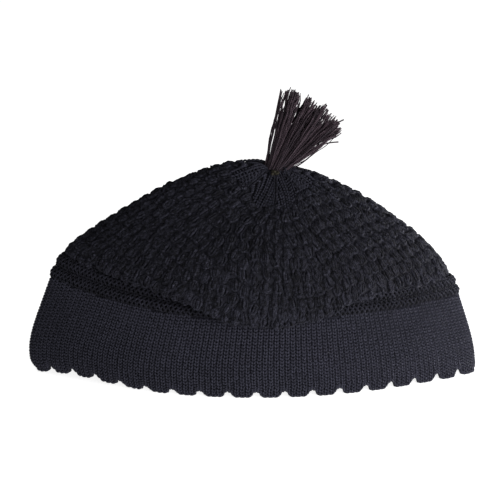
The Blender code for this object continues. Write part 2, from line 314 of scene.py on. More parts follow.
def linear(colour):
    """An sRGB hex colour as linear red, green, blue and alpha."""
    values = [int(colour[i:i + 2], 16) / 255 for i in (1, 3, 5)]
    return [v / 12.92 if v <= 0.04045 else ((v + 0.055) / 1.055) ** 2.4 for v in values] + [1.0]


def add_node(tree, kind, settings=None, links=None):
    """Adds a node, sets its inputs or its own settings by name, and links outputs into its inputs."""
    made = tree.nodes.new(kind)
    for word, value in (settings or {}).items():
        if isinstance(word, int) or word in made.inputs:
            made.inputs[word].default_value = value
        else:
            setattr(made, word, value)
    for word, output in (links or {}).items():
        tree.links.new(output, made.inputs[word])
    return made


def spun_yarn(name, deep, crest, fuzz, fibre_mm, ply_depth):
    """A spun yarn, mixed from a deep colour between the stitches to a crest colour on them: painted shade and
    painted highlight. The share of the crest colour is the yarn's own shade, which holds random tones and the
    painted shade and highlight of each piece, plus 0.10 times the sine of its twist, which paints shade in
    the grooves between the plies, 0.90 times the noise of its fibres and 0.40 times a fading from place to
    place, each noise less its middle. Plies and fibres also raise the surface."""
    material = bpy.data.materials.new(name)
    material.use_nodes = True
    tree = material.node_tree
    shader = tree.nodes["Principled BSDF"]
    shader.inputs["Roughness"].default_value = 0.75
    shader.inputs["Specular IOR Level"].default_value = 0.10
    shader.inputs["Sheen Weight"].default_value = fuzz
    shader.inputs["Sheen Roughness"].default_value = 0.5
    shader.inputs["Sheen Tint"].default_value = linear("#7C7C90")
    place = add_node(tree, "ShaderNodeTexCoord").outputs["Object"]
    shade = add_node(tree, "ShaderNodeAttribute", {"attribute_name": "shade"}).outputs["Fac"]
    ply = add_node(tree, "ShaderNodeAttribute", {"attribute_name": "ply"}).outputs["Fac"]
    fibre = add_node(tree, "ShaderNodeTexNoise", {"Scale": 1000 / fibre_mm, "Detail": 3.0}, {"Vector": place})
    faded = add_node(tree, "ShaderNodeTexNoise", {"Scale": 1000 / FADED_MM, "Detail": 2.0}, {"Vector": place})
    turned = add_node(tree, "ShaderNodeMath", {"operation": "MULTIPLY", 1: 2 * np.pi * PLIES}, {0: ply})
    twist = add_node(tree, "ShaderNodeMath", {"operation": "SINE"}, {0: turned.outputs[0]}).outputs[0]
    worn = add_node(tree, "ShaderNodeMath", {"operation": "MULTIPLY_ADD", 1: 0.10}, {0: twist, 2: shade})
    tone = add_node(tree, "ShaderNodeMath", {"operation": "MULTIPLY_ADD", 1: 0.90, 2: -0.45},
                    {0: fibre.outputs["Fac"]})
    patch = add_node(tree, "ShaderNodeMath", {"operation": "MULTIPLY_ADD", 1: 0.40, 2: -0.20},
                     {0: faded.outputs["Fac"]})
    mixed = add_node(tree, "ShaderNodeMath", {"operation": "ADD"}, {0: worn.outputs[0], 1: tone.outputs[0]})
    mixed = add_node(tree, "ShaderNodeMath", {"operation": "ADD", "use_clamp": True},
                     {0: mixed.outputs[0], 1: patch.outputs[0]})
    colour = add_node(tree, "ShaderNodeMix", {"data_type": "RGBA", 6: linear(deep), 7: linear(crest)},
                      {0: mixed.outputs[0]})
    height = add_node(tree, "ShaderNodeMath", {"operation": "MULTIPLY_ADD", 1: ply_depth},
                      {0: twist, 2: fibre.outputs["Fac"]})
    bump = add_node(tree, "ShaderNodeBump", {"Strength": 0.7, "Distance": 0.00025},
                    {"Height": height.outputs[0]})
    tree.links.new(colour.outputs[2], shader.inputs["Base Color"])
    tree.links.new(bump.outputs["Normal"], shader.inputs["Normal"])
    return material


def from_notch(turn):
    """Distance from the nearest notch of the hem in lobes: 0 at a notch, 0.5 in the middle of a lobe."""
    return np.abs(np.mod(turn * LOBES + 0.5, 1.0) - 0.5)


def notch_rise(turn):
    """How far the hem is drawn up: NOTCH times a mix of exp(-(distance / NOTCH_HALF_WIDTH)^10), a notch with
    a round top, and exp(-(distance / NOTCH_ROUNDING)^4), a small rounding beside it."""
    notch = np.exp(-((from_notch(turn) / NOTCH_HALF_WIDTH) ** 10))
    rounding = np.exp(-((from_notch(turn) / NOTCH_ROUNDING) ** 4))
    return NOTCH * (NOTCH_SHARE * notch + (1 - NOTCH_SHARE) * rounding)


def band_up(turn, up):
    """Heights on the band with the lowest stitches lifted round each notch, less with height."""
    return up + notch_rise(turn) * np.exp(-np.maximum(up, 0) / NOTCH_FADE)


def to_notches(up):
    """Places of the ten columns of cloth in each lobe: even above, and near the hem drawn towards the sides
    of the notches, where its outline turns."""
    turn = turns + np.tile(COLUMNS_DRAWN, LOBES) / LOBES * np.exp(-up / COLUMNS_FADE)
    return turn, band_up(turn, up)


def on_band(turn, up):
    """Reads the band wall with the upright rows made straight near the hem, where the foot of the band sits
    2 mm to the right of the cloth above it, less towards the two ends."""
    rise = np.clip(up / HEM_LEAN_HEIGHT, 0, 1)
    return read_wall(band_wall, turn - HEM_LEAN * np.sin(2 * np.pi * turn) * rise, up)


def flared(turn, up):
    """How far the hem rolls outward: most in the middle of each lobe, more at the curled left end and at the
    right end, and less with height."""
    lobe = 1 - np.exp(-((from_notch(turn) / FLARE_NOTCH) ** 2))
    left = np.exp(-(((np.mod(turn, 1.0) - FLARE_TURN) / FLARE_SPREAD) ** 4))
    right = np.exp(-(((np.mod(turn + 0.5, 1.0) - 0.5) / FLARE_SPREAD) ** 4))
    fade = np.exp(-np.maximum(up, 0) / FLARE_FADE)
    return (FLARE + FLARE_LEFT * left + FLARE_RIGHT * right) * lobe * fade


band_wall = knit_wall(BAND_LEVELS, steps=20, rows=121)

# Cloth behind the stitches, with the ridged wrong side of the knit on the inside. Its shade is lower than the
# stitches', painted shade in the gaps between them.
turns = np.arange(CLOTH_COLUMNS) / CLOTH_COLUMNS
share = np.linspace(0, 1, 26)[:, None]
turn, up = to_notches(share * along_top(band_wall.lengths, turns))
point, normal, _ = on_band(turn, up)
outside = point + normal * (flared(turn, up) - STITCH_SINK)[..., None]
share = np.linspace(1, 0, 94)[:, None]
turn, up = to_notches(share * along_top(band_wall.lengths, turns))
point, normal, _ = on_band(turn, up)
ridge = RIDGE * np.sin(2 * np.pi * up / COURSE) * np.cos(np.pi * WALES * turns) ** 2
thick = BAND_WALL - HEM_THIN * np.exp(-up / HEM_THIN_FADE)
inside = point + normal * (ridge + flared(turn, up) - thick)[..., None]
fabric = shell(np.concatenate([inside, outside]), shade=0.55)

# V stitches: two legs each. A leg starts 0.06 of a row from its middle and 0.34 of a course up, runs 0.33
# out and 0.72 up, and is sunk deep at its outer end, where the next stitch covers it.
wale, course, leg = np.meshgrid(np.arange(WALES), np.arange(COURSES), (-1, 1), indexing="ij")
wale, course, leg = (values.ravel()[:, None] for values in (wale, course, leg))
t = np.linspace(0, 1, 4)
wander = rng.normal(0, STITCH_WANDER, (2,) + wale.shape)
turn = (wale + 0.5 + leg * (0.06 + 0.33 * t) + wander[0]) / WALES
up = (course + 0.34 + 0.72 * t + wander[1]) * COURSE
kept = up.max(1) < along_top(band_wall.lengths, (wale[:, 0] + 0.5) / WALES) + TOP_OVERLAP
turn, up = turn[kept], band_up(turn[kept], up[kept])
point, normal, _ = on_band(turn, up)
lift = STITCH_LIFT * np.array([0.0, 0.6, 0.4, -1.0]) + flared(turn, up)
paths = point + normal * lift[..., None]
paths[..., 2] = np.maximum(paths[..., 2], STITCH_CLEAR)
radius = BAND_YARN * np.array([0.97, 1.0, 1.0, 0.95]) * rng.normal(1, 0.04, (len(paths), 1))
# Painted shade: each leg is darker at both ends, where it dives under the next stitches, and paler in its
# middle.
tone = tones(0.69, 0.08, len(paths))[:, None] + np.array([-0.06, 0.04, 0.03, -0.08])
front = turn.mean(1) >= 0.5
stitches = [yarn_lengths(paths[side], normal[side], radius[side], tone[side]) for side in (front, ~front)]

# Binding: one loop of yarn hangs from the foot of each upright row
loop = np.linspace(-1, 1, 7)
hang = np.cos(loop * np.pi / 2)
wale = np.arange(WALES)[:, None]
turn = (wale + 0.5 + BINDING_REACH * np.sin(loop * np.pi / 2)) / WALES
up = notch_rise(turn) + BINDING_TOP - BINDING_HANG * hang
point, normal, _ = on_band(turn, up)
paths = point + normal * (flared(turn, up) - BINDING_SINK - BINDING_SINK * hang)[..., None]
paths[..., 2] = np.maximum(paths[..., 2], BINDING_CLEAR)
binding = yarn_lengths(paths, normal, BINDING_YARN, tones(0.62, 0.14, WALES), sides=6)

# Black acrylic yarn, worsted spun: nearly black with a faint blue cast, matt, with a slight fibre haze
BLACK_YARN = spun_yarn("black_acrylic_yarn", "#07070B", "#2B2B35", fuzz=0.03, fibre_mm=1.3, ply_depth=0.8)
knit_piece("band_fabric", [fabric, binding], BLACK_YARN, "band_yarn", "band")
knit_piece("band_front_stitches", [stitches[0]], BLACK_YARN, "band_yarn", "band")
knit_piece("band_back_stitches", [stitches[1]], BLACK_YARN, "band_yarn", "band")

# Welts
# Two raised rolls between band and crown, knitted with the wrong side out. Their loops cross in a net of
# slanting strands with small dark eyelets between them, and each roll curls under at both edges.

WELT_TOP = (0.843, 0.884, 0.790, 0.855, 0, 0.568, 0.464, 0.442, 0.522, 0, 0.60, 0.58)
WELT_GAP = 0.00035
WELT_BULGE = 0.0017
WELT_CREASE = 0.0004
WELT_WALL = 0.0030
WELT_SINK = 0.0010
NET_ROWS = 4
NET_YARN = 0.00057
NET_LIFT = 0.0003

# How far the cloth of a welt goes on under its neighbours below and above, in heights of the welt
WELT_UNDER = 0.08
WELT_OVER = 0.10


def pushed(levels, length):
    """Levels moved outward by a length in metres."""
    reach = np.array([1 / HALF_WIDTH, 1 / HALF_WIDTH, 1 / HALF_DEPTH, 1 / HALF_DEPTH] + [0] * 8)
    return np.asarray(levels, float) + reach * length


def lifted(levels, length):
    """Levels moved up by a length in metres."""
    return np.asarray(levels, float) + np.array([0] * 5 + [1] * 4 + [0] * 3) * length / CAP_HEIGHT


foot, top = lifted(BAND_LEVELS[-1], WELT_GAP), np.array(WELT_TOP)
split = (foot + top) / 2
for name, low, high in (
    ("lower_welt", foot, lifted(split, -WELT_GAP / 2)),
    ("upper_welt", lifted(split, WELT_GAP / 2), top),
):
    share = np.linspace(0, 1, 9)[:, None]
    roll = WELT_BULGE * np.sin(np.pi * share) ** 0.6 - WELT_CREASE
    welt_wall = knit_wall(pushed(low + (high - low) * share, roll), steps=4, rows=33)
    welt_inside = knit_wall(pushed([low, high], -WELT_WALL), steps=8, rows=9)
    share = np.linspace(-WELT_UNDER, 1 + WELT_OVER, 12)[:, None]
    point, normal, _ = read_wall(welt_wall, turns, share * along_top(welt_wall.lengths, turns))
    outside = point - normal * WELT_SINK
    share = np.linspace(1 + WELT_OVER, -WELT_UNDER, 5)[:, None]
    inside, _, _ = read_wall(welt_inside, turns, share * along_top(welt_inside.lengths, turns))
    # The cloth has the darkest shade: painted shade that shows through the eyelets of the net.
    cloth = shell(np.concatenate([inside, outside]), shade=0.0)

    # Net: strands slant from one crossing to the next, half a stitch aside and one row up. They are painted
    # palest on the crest of the roll and darker towards its edges: painted highlight, and painted shade in
    # the creases.
    wale, row, way = np.meshgrid(np.arange(WALES), np.arange(NET_ROWS), (-0.5, 0.5), indexing="ij")
    wale, row, way = (values.ravel()[:, None] for values in (wale, row, way))
    t = np.linspace(0, 1, 5)
    turn = (wale + 0.5 * (row % 2) + way * t + rng.normal(0, STITCH_WANDER, wale.shape)) / WALES
    up = (row + t) / NET_ROWS * along_top(welt_wall.lengths, turn)
    point, normal, _ = read_wall(welt_wall, turn, up)
    paths = point + normal * (NET_LIFT * np.array([-0.6, 0.5, 1.0, 0.5, -0.6]))[:, None]
    radius = NET_YARN * np.array([1.0, 0.95, 0.95, 0.95, 1.0])
    tone = tones(0.20, 0.10, len(paths))[:, None] + 0.34 * np.sin(np.pi * (row + t) / NET_ROWS) - 0.16
    net = yarn_lengths(paths, normal, radius, tone)
    knit_piece(name + "_net", [cloth, net], BLACK_YARN, "welt_yarn", name)

# Crown
# Thick bobble knit in eight gores: bobbles in upright rows that lean into one another. Each bobble is an
# almond of loops, two outer strands, two inner ones and a spine, tied at its foot. The lowest hang over the
# welts, in a lip at the front.

CROWN_LEVELS = np.array([
    (0.784, 0.840, 0.891, 0.853, 0.00, 0.627, 0.536, 0.506, 0.588, 0.70, 0.68, 0.66),
    (0.720, 0.788, 0.893, 0.812, 0.00, 0.675, 0.601, 0.558, 0.638, 0.28, 0.68, 0.65),
    (0.634, 0.705, 0.849, 0.747, 0.00, 0.734, 0.680, 0.614, 0.692, 0.06, 0.70, 0.67),
    (0.531, 0.604, 0.776, 0.671, 0.00, 0.800, 0.757, 0.665, 0.746, 0.00, 0.72, 0.70),
    (0.420, 0.499, 0.691, 0.582, -0.01, 0.866, 0.830, 0.712, 0.797, 0.00, 0.75, 0.73),
    (0.308, 0.408, 0.606, 0.485, -0.02, 0.923, 0.882, 0.755, 0.845, 0.00, 0.80, 0.80),
    (0.210, 0.341, 0.541, 0.392, -0.03, 0.962, 0.916, 0.786, 0.880, 0.00, 0.88, 0.86),
    (0.120, 0.291, 0.495, 0.313, -0.04, 0.991, 0.939, 0.805, 0.909, 0.00, 0.95, 0.92),
    (0.065, 0.255, 0.402, 0.227, -0.05, 1.003, 0.956, 0.849, 0.938, 0.00, 1.00, 1.00),
    (0.039, 0.236, 0.364, 0.192, -0.06, 1.007, 0.963, 0.871, 0.952, 0.00, 1.00, 1.00),
    (-0.030, 0.171, 0.232, 0.081, -0.07, 1.010, 0.979, 0.930, 0.982, 0.00, 1.00, 1.00),
    (-0.087, 0.113, 0.113, -0.053, -0.083, 0.988, 0.986, 0.977, 0.991, 0.00, 1.00, 1.00),
    (-0.0995, 0.1005, 0.0845, -0.0815, -0.083, 0.988, 0.986, 0.985, 0.988, 0.00, 1.00, 1.00),
])
CROWN_EDGE = (0.828, 0.870, 0.864, 0.865, 0.00, 0.568, 0.464, 0.442, 0.522, 1.00, 0.70, 0.68)
CROWN_GAP = 0.0005
CROWN_RISE = 0.0012
CROWN_WALL = 0.0045
CROWN_SINK = 0.0005
CROWN_EDGE_SINK = 0.0005
CROWN_EDGE_FADE = 0.0010
HOLLOW = 0.0005
HOLLOW_COLUMNS = 80
GORES = 8
STAR_LEVEL = 9
GORE_POINT = 0.75

# Bobbles: what hangs below the crown's edge, covers the star's edge or is the least left of a bobble is in
# heights of one, and the most pairs is the widest half of a gore's row
BOBBLE_WIDTH = 0.0051
BOBBLE_HEIGHT = 0.0066
BOBBLE_ROWS = 24
MOST_PAIRS = 6
BOBBLE_HANG = 0.20
BOBBLE_COVER = 0.10
LEAST_BOBBLE = 0.30

# How much bobbles differ: slide in metres, lean in radians and plumpness as a share, and for each loop in
# them a widening and a shift aside in widths, a shift up in heights and a lift in millimetres. REACH is the
# furthest that a loop may lie from the middle of its bobble.
SLIDE = 0.00035
LEAN = 0.14
PLUMP = 0.18
LOOP_JOLT = (0.10, 0.05, 0.04, 0.12)
REACH = 0.0050

# How much paler and fatter or darker and thinner a strand is from one of its stitches to the next, a painted
# highlight on the fatter stitches and painted shade on the thinner ones, then how much paler the bobbles are
# at the lip, a painted highlight where the lip stands out into the light, and the height in which it fades
STRAND_PALER = 0.17
STRAND_FATTER = 0.13
LIP_HIGHLIGHT = 0.14
LIP_HIGHLIGHT_FADE = 0.0045
EDGE_LOOPS = 92
EDGE_YARN = 0.00058
EDGE_FOOT = 0.0006
EDGE_SAG = 0.0009
EDGE_SINK = 0.0007
EDGE_SWELL = 0.0003

# How many rows the pattern has dropped at shares of a turn: it slants down to the right over the left and
# middle of the front and rises again at the right
ROWS_DROPPED = np.array([(0.0, 0.0), (0.5, 0.0), (0.82, 5.4), (1.0, 3.0)])

edge = lifted(CROWN_EDGE, CROWN_GAP)
crown_levels = np.vstack([edge, lifted(edge, CROWN_RISE), CROWN_LEVELS])
crown_wall = knit_wall(crown_levels, steps=12, rows=161)
crown_inside = knit_wall(pushed(crown_levels[:STAR_LEVEL + 2], -CROWN_WALL), steps=12, rows=81)


def star_edge(turn):
    """Height up the crown of the zigzag where the bobbles end: highest on the gore lines, lowest between."""
    low, high = (along_top(crown_wall.marks[STAR_LEVEL + i], turn) for i in (0, 1))
    return low + (high - low) * GORE_POINT * np.abs(2 * np.mod(turn * GORES, 1) - 1)


def rows_dropped(turn):
    """How far the pattern has dropped at a share of a turn, straight between the places of the table."""
    return np.interp(np.mod(turn, 1.0), ROWS_DROPPED[:, 0], ROWS_DROPPED[:, 1])


def grain(turn, up):
    """Way across at a level of the crown wall, way up a column of it, each for a metre, and its stretch, from
    places 2 mm to either side."""
    step = 0.002
    stretch = read_wall(crown_wall, turn, up)[2]
    aside = step / stretch
    across = read_wall(crown_wall, turn + aside, up)[0] - read_wall(crown_wall, turn - aside, up)[0]
    along = read_wall(crown_wall, turn, up + step)[0] - read_wall(crown_wall, turn, up - step)[0]
    return across / (2 * step), along / (2 * step), stretch


def crossed(across, along):
    """Length of the cross product of two ways, which is the sine of the angle between them."""
    return np.linalg.norm(np.cross(across, along), axis=-1)


# Cloth behind the bobbles, with their hollow backs on the inside
share = np.linspace(0, 1, 44)[:, None]
up = share * star_edge(turns)
point, normal, _ = read_wall(crown_wall, turns, up)
outside = point - normal * (CROWN_SINK + CROWN_EDGE_SINK * np.exp(-up / CROWN_EDGE_FADE))[..., None]
share = np.linspace(1, 0, 40)[:, None]
inner_share = along_top(crown_inside.lengths, turns) / along_top(crown_wall.marks[STAR_LEVEL + 1], turns)
up = share * star_edge(turns) * inner_share
point, normal, _ = read_wall(crown_inside, turns, up)
hollow = np.cos(2 * np.pi * up / BOBBLE_HEIGHT) * np.cos(2 * np.pi * HOLLOW_COLUMNS * turns)
inside = point + normal * (HOLLOW * hollow)[..., None]
ground = shell(np.concatenate([inside, outside]), shade=0.24)

# Middles of the bobbles: at each row an even number of them fills a gore from side to side
columns = np.arange(-MOST_PAIRS, MOST_PAIRS)
grids = np.meshgrid(np.arange(GORES), np.arange(BOBBLE_ROWS), columns, indexing="ij")
gore, row, column = (values.ravel() for values in grids)
middle = (gore + 0.5) / GORES
up = np.clip((row + 0.5 - rows_dropped(middle)) * BOBBLE_HEIGHT, 0, crown_wall.lengths.min())
across, along, stretch = grain(middle, up)
pairs = np.maximum(np.round(stretch * crossed(across, along) / GORES / BOBBLE_WIDTH / 2), 1)
turn = middle + (column + 0.5) / (2 * pairs * GORES)
up = (row + 0.5 - rows_dropped(turn)) * BOBBLE_HEIGHT
low = np.maximum(up - 0.5 * BOBBLE_HEIGHT, -BOBBLE_HANG * BOBBLE_HEIGHT)
high = np.minimum(up + 0.5 * BOBBLE_HEIGHT, star_edge(turn) + BOBBLE_COVER * BOBBLE_HEIGHT)
kept = (np.abs(column + 0.5) < pairs) & (high - low > LEAST_BOBBLE * BOBBLE_HEIGHT)
turn, up, tall, pairs = (values[kept] for values in (turn, (low + high) / 2, high - low, pairs))

# Each bobble lies along its column: steep is the way up the column and level the way square to it
across, along, stretch = grain(turn, up)
steep = along / np.linalg.norm(along, axis=-1, keepdims=True)
out = np.cross(across, along)
level = np.cross(steep, out / np.linalg.norm(out, axis=-1, keepdims=True))
wide = stretch * crossed(across, along) / (2 * pairs * GORES)
ways = [np.array([(way * grid).sum(1) for grid in (across, along)])[:, :, None] for way in (level, steep)]
gram = np.array([(across * across).sum(1), (across * along).sum(1), (along * along).sum(1)])[:, :, None]
gram_size = gram[0] * gram[2] - gram[1] ** 2
turn, up, tall, wide, stretch = (values[:, None] for values in (turn, up, tall, wide, stretch))
slide = rng.normal(0, SLIDE, (2,) + turn.shape)
lean = rng.normal(0, LEAN, turn.shape)
plump = rng.normal(1, PLUMP, turn.shape)


def over_bobbles(x, y, lift):
    """Paths across every bobble through places in bobble widths and heights, turned by its lean, and lifted
    off the wall in millimetres times how plump it is. Each loop lies a little differently in each bobble.
    The shift on the wall solves across times aside + along times rise = shift, by their dot products."""
    jolt = np.array(LOOP_JOLT)[:, None, None] * rng.normal(0, 1, (4,) + turn.shape)
    x = (x * (1 + jolt[0]) + jolt[1]) * wide
    y = (y + jolt[2]) * tall
    lift = (lift + jolt[3]) * 0.001
    sideways = x * np.cos(lean) - y * np.sin(lean) + slide[0]
    upward = x * np.sin(lean) + y * np.cos(lean) + slide[1]
    toward_across, toward_along = (sideways * ways[0][i] + upward * ways[1][i] for i in (0, 1))
    aside = np.clip((toward_across * gram[2] - toward_along * gram[1]) / gram_size, -REACH, REACH)
    rise = np.clip((toward_along * gram[0] - toward_across * gram[1]) / gram_size, -REACH, REACH)
    spot, out, _ = read_wall(crown_wall, turn + aside / stretch, up + rise)
    return spot + out * (lift * plump)[..., None], out


# Loops of one bobble: across in its widths, up in its heights and lift in millimetres, then the radius of the
# yarn in millimetres and its shade. The last three fill the ground below and beside the bobble. The shades
# are palest on the raised spine and tie and darkest on the sunk core and bridges: painted shade in the
# hollows.
front = turn[:, 0] >= 0.5
bobbles = [[], []]
t = np.linspace(0, 1, 7)
s = np.linspace(0, 1, 6)
u = np.linspace(-1, 1, 5)
v = np.linspace(0, 1, 3)
outer = 0.10 + 0.28 * np.sin(np.pi * t) ** 0.8, -0.50 + 1.08 * t, 0.20 - 2.2 * (t - 0.35) ** 2
inner = 0.05 + 0.14 * np.sin(np.pi * t) ** 0.8, -0.46 + 0.98 * t, 0.55 - 2.3 * (t - 0.38) ** 2
spine = 0.03 * np.sin(np.pi * s), -0.22 + 0.66 * s, 0.78 - 2.4 * (s - 0.4) ** 2
tie = 0.24 * u, -0.38 + 0.06 * u**2, 0.65 - 0.5 * u**2
core = 0.04 * v, -0.30 + 0.70 * v, np.full(3, -0.25)
bridge = 0.30 + 0.42 * v, -0.42 + 0.50 * v, -0.10 - 0.3 * v
for x, y, lift, radius, middle_tone in (
    (-outer[0], outer[1], outer[2], 0.66, 0.23),
    (outer[0], outer[1], outer[2], 0.66, 0.23),
    (-inner[0], inner[1], inner[2], 0.58, 0.25),
    (inner[0], inner[1], inner[2], 0.58, 0.25),
    (spine[0], spine[1], spine[2], 0.55, 0.27),
    (tie[0], tie[1], tie[2], 0.62, 0.29),
    (core[0], core[1], core[2], 1.20, 0.21),
    (bridge[0], bridge[1], bridge[2], 0.72, 0.17),
    (-bridge[0], bridge[1] + 0.35, bridge[2], 0.72, 0.17),
):
    paths, normal = over_bobbles(x, y, lift)
    taper = 1 - 0.25 * np.abs(np.linspace(-1, 1, len(x))) ** 3
    thickness = 0.001 * radius * taper * rng.normal(1, 0.12, paths.shape[:2])
    tone = tones(middle_tone, 0.08, len(paths))[:, None] + rng.normal(0, 0.18, paths.shape[:2])
    # Painted highlight and shade along each strand: its stitches are by turns paler and fatter, then darker
    # and thinner.
    wave = (-1.0) ** np.arange(len(x)) * rng.choice((-1, 1), (len(paths), 1))
    tone += STRAND_PALER * wave
    # Painted highlight on the bobbles near the foot of the crown, where the lip stands out into the light.
    tone += LIP_HIGHLIGHT * np.exp(-np.maximum(up, 0) / LIP_HIGHLIGHT_FADE)
    thickness *= 1 + STRAND_FATTER * wave
    for loops, side in zip(bobbles, (front, ~front)):
        loops.append(yarn_lengths(paths[side], normal[side], thickness[side], tone[side]))

# Edge: a row of loose loops hangs from the foot of the crown, about 1 mm deep and no two alike
loop = np.linspace(-1, 1, 6)
hang = np.cos(loop * np.pi / 2)
turn = (np.arange(EDGE_LOOPS)[:, None] + 0.5 + 0.52 * np.sin(loop * np.pi / 2)) / EDGE_LOOPS
sag = rng.normal(EDGE_SAG, EDGE_SAG / 3, (EDGE_LOOPS, 1))
point, normal, _ = read_wall(crown_wall, turn, EDGE_FOOT - sag * hang)
paths = point + normal * (EDGE_SWELL * hang - EDGE_SINK)[:, None]
bobbles[0].append(yarn_lengths(paths, normal, EDGE_YARN, tones(0.3, 0.12, EDGE_LOOPS)))
knit_piece("crown_ground", [ground], BLACK_YARN, "crown_yarn", "crown")
knit_piece("crown_front_bobbles", bobbles[0], BLACK_YARN, "crown_yarn", "crown")
knit_piece("crown_back_bobbles", bobbles[1], BLACK_YARN, "crown_yarn", "crown")

# Star
# Eight wedges of stockinette, nearly as coarse as the band's, meet at the pole. Their rows of V stitches run
# straight to the middle of each wedge and end at the seams, where a chain of stitches covers the decreases.

STAR_WALE = 0.0027
STAR_COURSE = 0.00160
STAR_COLUMNS = 6
STAR_ROWS = 40
STAR_WALL = 0.0025
STAR_SINK = 0.0008
STAR_UNDER = 0.0015
STAR_OVERLAP = 0.0004
STAR_YARN = 0.00056
POLE_CLEAR = 0.0022
POLE_GAP = 0.0002
POLE_SINK = 0.0004
SEAM_CLEAR = 0.0002
CHAIN_STITCH = 0.0019
CHAIN_STITCHES = 14
CHAIN_OVERLAP = 0.001
CHAIN_YARN = 0.00050

# Cloth: it goes on for 1.5 mm under the bobbles and is closed at the pole
pole = level_points(crown_levels[-1][:, None], np.linspace(0, 2 * np.pi, 9)[:-1]).mean(0)
reach = along_top(crown_wall.lengths, turns) - POLE_GAP - (star_edge(turns) - STAR_UNDER)
rise = star_edge(turns) - STAR_UNDER + reach * np.linspace(0, 1, 24)[:, None]
point, normal, _ = read_wall(crown_wall, turns, rise)
outside = point - normal * STAR_SINK
point, normal, _ = read_wall(crown_wall, turns, rise[::-2])
inside = point - normal * STAR_WALL
poles = np.array([pole - (0, 0, STAR_WALL), pole - (0, 0, POLE_SINK)])
# The cloth has the darkest shade: painted shade in the gaps between the V stitches.
cloth = shell(np.concatenate([inside, outside]), shade=0.0, poles=poles)

# V stitches, from the pole down: two legs each, 0.10 of a row from its middle, 0.30 out and 0.62 up
columns = np.arange(-STAR_COLUMNS, STAR_COLUMNS + 1)
grids = np.meshgrid(np.arange(GORES), columns, np.arange(STAR_ROWS), (-1, 1), indexing="ij")
gore, column, row, leg = (values.ravel()[:, None] for values in grids)
t = np.linspace(0, 1, 4)
wander = rng.normal(0, STITCH_WANDER, (2,) + gore.shape)
aside = (column + leg * (0.10 + 0.30 * t) + wander[0]) * STAR_WALE
middle = (gore + 0.5) / GORES
up = along_top(crown_wall.lengths, middle) - POLE_CLEAR - (row - 0.62 * t + wander[1]) * STAR_COURSE
stretch = read_wall(crown_wall, middle, np.maximum(up, 0.001))[2]
turn = middle + aside / stretch
kept = np.abs(aside / stretch).max(1) < 0.5 / GORES - SEAM_CLEAR / stretch.min(1)
kept &= up.min(1) > star_edge(turn).max(1) - STAR_OVERLAP
turn, up = turn[kept], up[kept]
point, normal, _ = read_wall(crown_wall, turn, up)
paths = point + normal * (STITCH_LIFT * np.array([-0.9, 0.8, 0.6, -1.6]))[:, None]
# Painted shade: each leg is darker at both ends, most at its outer end, where it dives under the next
# stitches.
tone = tones(0.46, 0.10, len(paths))[:, None] + np.array([-0.10, 0.05, 0.0, -0.20])
wedges = yarn_lengths(paths, normal, STAR_YARN * np.array([0.9, 1, 0.95, 0.7]), tone)

# Seams: a chain down each gore line
gore, row, leg = np.meshgrid(np.arange(GORES), np.arange(CHAIN_STITCHES), (-1, 1), indexing="ij")
gore, row, leg = (values.ravel()[:, None] for values in (gore, row, leg))
up = along_top(crown_wall.lengths, gore / GORES) - POLE_CLEAR - (row + 1.1 - 1.1 * t) * CHAIN_STITCH
stretch = read_wall(crown_wall, gore / GORES, up)[2]
turn = gore / GORES + leg * (0.10 + 0.32 * np.sin(np.pi * t)) * CHAIN_STITCH / stretch
kept = up.min(1) > star_edge(gore / GORES)[:, 0] - CHAIN_OVERLAP
point, normal, _ = read_wall(crown_wall, turn[kept], up[kept])
paths = point + normal * (STITCH_LIFT * np.array([-0.8, 1.2, 1.2, -0.8]))[:, None]
chain = yarn_lengths(paths, normal, CHAIN_YARN * np.array([0.8, 1, 1, 0.8]), tones(0.30, 0.10, len(paths)))
knit_piece("star_stitches", [cloth, wedges, chain], BLACK_YARN, "star_yarn", "crown_star")

# Knot
# A small knot of olive-brown sewing thread in front of the tassel, where it was tied through the cap. The
# thread is wound three times round a small ring that fills the solid knot's box.

KNOT_THREAD = 0.00070

low, high = (np.array(corner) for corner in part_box("tassel_knot"))
middle, half = (low + high) / 2, (high - low) / 2
a = np.linspace(0, 6 * np.pi, 73)
ring = 0.62 + 0.30 * np.cos(a)
wound = np.stack([np.cos(a / 3) * ring, 0.75 * np.sin(a), np.sin(a / 3) * ring], -1)
path = middle + wound * (half - KNOT_THREAD / 2)
out = wound / np.linalg.norm(wound, axis=-1, keepdims=True)
knot = yarn_lengths(path[None], out[None], KNOT_THREAD, 0.4, sides=8)

# Olive cotton sewing thread, finely spun: a flat brown-green that is hardly lighter than the yarn
OLIVE_THREAD = spun_yarn("olive_cotton_thread", "#13110D", "#2A271E", fuzz=0.02, fibre_mm=0.6, ply_depth=0.6)
knit_piece("knot_winding", [knot], OLIVE_THREAD, "knot_thread", "tassel_knot")

# Tassel
# About 330 cut lengths of dark red-brown cotton thread, drawn through the pole and tied there, so that they
# stand up and spread in a fan to the right. Their ends are uneven, and a few stray from the rest.

# The feet of the threads stand from left to right, given by x and z, in an oval head. Their wander and how
# much shorter some threads are, and the painted shade at the head, where the threads crowd together, are
# shares of the row of feet and of a thread's length. KINK_ANGLE is that of the waves along a thread, in
# radians.
THREAD = 0.0006
THREADS = 330
THREAD_POINTS = 16
FOOT_LEFT = (0.0064, 0.1098)
FOOT_RIGHT = (0.0165, 0.1078)
HEAD_BEHIND = 0.0018
FOOT_AHEAD = 0.0026
HEAD_HALF_DEPTH = 0.0034
FAN_HALF_DEPTH = 0.0064
FOOT_WANDER = 0.06
SHORTER = 0.06
SHORTEST = 0.25
BOW = 0.0008
KINK = 0.00040
KINK_ANGLE = 20
HEAD_PAINTED_SHADE = 0.40
HEAD_FADE = 0.20

